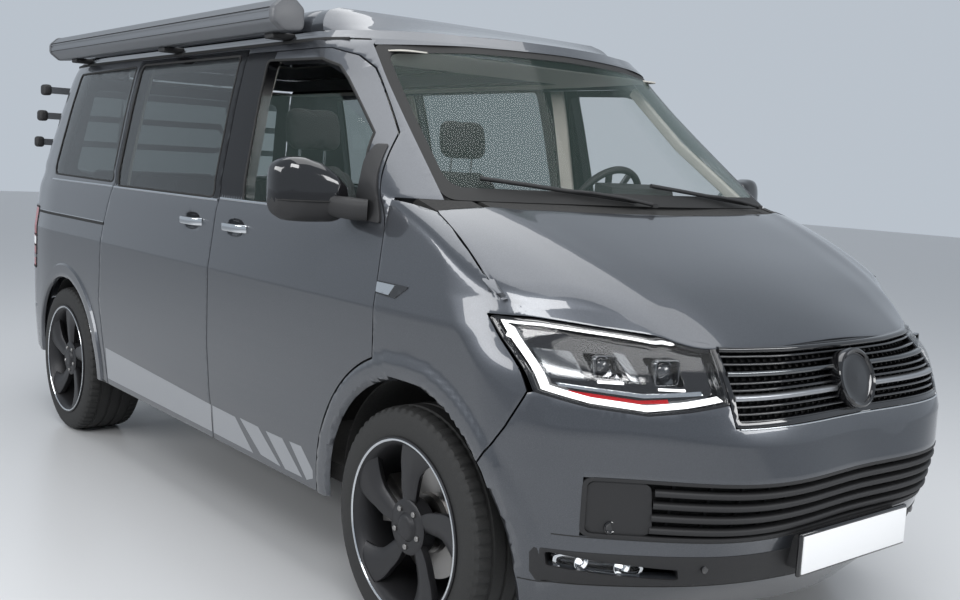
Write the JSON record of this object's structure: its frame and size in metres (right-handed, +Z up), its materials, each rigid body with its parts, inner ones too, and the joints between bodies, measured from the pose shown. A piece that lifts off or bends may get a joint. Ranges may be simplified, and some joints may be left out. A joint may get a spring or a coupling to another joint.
{
  "type": "camper van",
  "caption": "camper van with lifting roof, side awning, cycle carrier, hinged doors, bonnet and tailgate, steered front wheels and cloth bellows under the roof",
  "frame": {"origin": "on the ground in the middle of the van, half way between its bumpers", "axes": "+Z up, front towards -Y, left side towards +X"},
  "size_m": [2.336, 4.904, 1.99],
  "materials": {
    "paint": "metallic",
    "glass_clear": "clear",
    "glass_dark": "tinted",
    "lamp": "clear",
    "lamp_red": "tinted",
    "black_trim": "satin",
    "awning_metal": "satin",
    "steel": "matte",
    "floor": "matte",
    "tank": "matte",
    "furniture": "satin",
    "seat_cloth": "woven",
    "bellows_cloth": "woven",
    "wheel_black": "matte",
    "tyre": "matte"
  },
  "bodies": {
    "chassis": {"awning": "awning_metal", "body_side_left": "paint", "body_side_right": "paint", "cowl_bulkhead": "black_trim", "dashboard": "black_trim", "engine_block": "steel", "exhaust": "steel", "floor_pan": "floor", "fog_lamps": "lamp", "front_bumper": "paint", "front_fenders": "paint", "front_seats": "seat_cloth", "front_subframe": "steel", "fuel_tank": "tank", "headlamps": "lamp", "intake_grille": "black_trim", "kitchen_unit": "furniture", "radiator_grille": "black_trim", "rear_axle": "steel", "rear_bench": "seat_cloth", "rear_bumper": "paint", "roof_bellows": "bellows_cloth", "roof_cap": "paint", "roof_panel": "paint", "side_windows": "glass_dark", "sliding_door": "paint", "tail_lamps": "lamp_red", "wheel_housings": "black_trim", "windscreen": "glass_clear", "wipers": "black_trim"},
    "bonnet": {"bonnet": "paint"},
    "tailgate": {"tailgate": "paint", "tailgate_glass": "glass_dark", "bike_carrier": "black_trim"},
    "pop_roof": {"pop_roof": "paint"},
    "door_left": {"door_left": "paint", "door_glass_left": "glass_clear", "mirror_left": "black_trim"},
    "door_right": {"door_right": "paint", "door_glass_right": "glass_clear", "mirror_right": "black_trim"},
    "steering_wheel": {"steering_wheel": "black_trim"},
    "knuckle_left": {"knuckle_left": "steel"},
    "knuckle_right": {"knuckle_right": "steel"},
    "wheel_front_left": {"rim_front_left": "wheel_black", "tyre_front_left": "tyre"},
    "wheel_front_right": {"rim_front_right": "wheel_black", "tyre_front_right": "tyre"},
    "wheel_rear_left": {"rim_rear_left": "wheel_black", "tyre_rear_left": "tyre"},
    "wheel_rear_right": {"rim_rear_right": "wheel_black", "tyre_rear_right": "tyre"}
  },
  "joints": [
    {"name": "steer_left", "type": "hinge", "parent": "chassis", "child": "knuckle_left", "pos_m": [0.742, -1.544, 0.362], "axis": [0, 0, 1], "range_deg": [-32, 32]},
    {"name": "steer_right", "type": "hinge", "parent": "chassis", "child": "knuckle_right", "pos_m": [-0.742, -1.544, 0.362], "axis": [0, 0, 1], "range_deg": [-32, 32]},
    {"name": "steering_turn", "type": "hinge", "parent": "chassis", "child": "steering_wheel", "pos_m": [0.385, -0.985, 1.3], "axis": [0, 0.8829, 0.4695], "range_deg": [-500, 500]},
    {"name": "spin_front_left", "type": "hinge", "parent": "knuckle_left", "child": "wheel_front_left", "pos_m": [0.8075, -1.544, 0.362], "axis": [1, 0, 0], "continuous": true},
    {"name": "spin_front_right", "type": "hinge", "parent": "knuckle_right", "child": "wheel_front_right", "pos_m": [-0.8075, -1.544, 0.362], "axis": [1, 0, 0], "continuous": true},
    {"name": "spin_rear_left", "type": "hinge", "parent": "chassis", "child": "wheel_rear_left", "pos_m": [0.8075, 1.456, 0.362], "axis": [1, 0, 0], "continuous": true},
    {"name": "spin_rear_right", "type": "hinge", "parent": "chassis", "child": "wheel_rear_right", "pos_m": [-0.8075, 1.456, 0.362], "axis": [1, 0, 0], "continuous": true},
    {"name": "door_left_swing", "type": "hinge", "parent": "chassis", "child": "door_left", "pos_m": [0.938, -1.311, 0.912], "axis": [0, 0, 1], "range_deg": [-65, 0]},
    {"name": "door_right_swing", "type": "hinge", "parent": "chassis", "child": "door_right", "pos_m": [-0.938, -1.311, 0.912], "axis": [0, 0, 1], "range_deg": [0, 65]},
    {"name": "bonnet_lift", "type": "hinge", "parent": "chassis", "child": "bonnet", "pos_m": [0, -1.5, 1.308], "axis": [-1, 0, 0], "range_deg": [0, 45]},
    {"name": "tailgate_lift", "type": "hinge", "parent": "chassis", "child": "tailgate", "pos_m": [0, 2.194, 1.848], "axis": [1, 0, 0], "range_deg": [0, 85]},
    {"name": "roof_lift", "type": "hinge", "parent": "chassis", "child": "pop_roof", "pos_m": [0, 2.072, 1.898], "axis": [-1, 0, 0], "range_deg": [0, 16]}
  ],
  "couplings": [
    {"joint": "steer_right", "follows": "steer_left", "ratio": 1},
    {"joint": "steering_turn", "follows": "steer_left", "ratio": 15}
  ]
}
